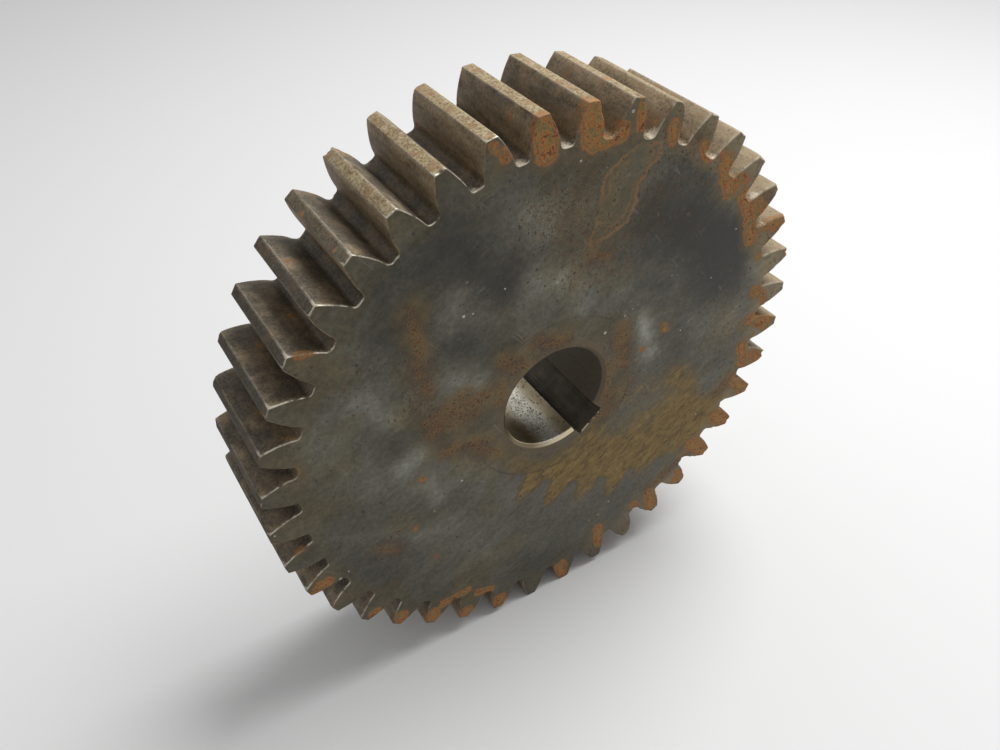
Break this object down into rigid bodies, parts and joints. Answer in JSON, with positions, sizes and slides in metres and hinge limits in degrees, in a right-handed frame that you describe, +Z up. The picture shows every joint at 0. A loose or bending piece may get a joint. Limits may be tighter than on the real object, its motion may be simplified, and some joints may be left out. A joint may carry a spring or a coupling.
{
  "type": "spur gear",
  "caption": "Solid spur gear with straight involute teeth, a chamfered keyed bore and flat faces, in worn, rust-stained steel.",
  "frame": {"origin": "on the bore's axis, halfway through the face width", "axes": "+Y along the bore's axis, +Z up, +X to the right when looking along +Y; the gear stands on two teeth with a tooth space straight down"},
  "size_m": [0.2516, 0.049, 0.2516],
  "materials": {
    "worn_steel": "dull, stained and pitted steel with rust"
  },
  "bodies": {
    "root": {"spur_gear": "worn_steel"}
  },
  "joints": []
}
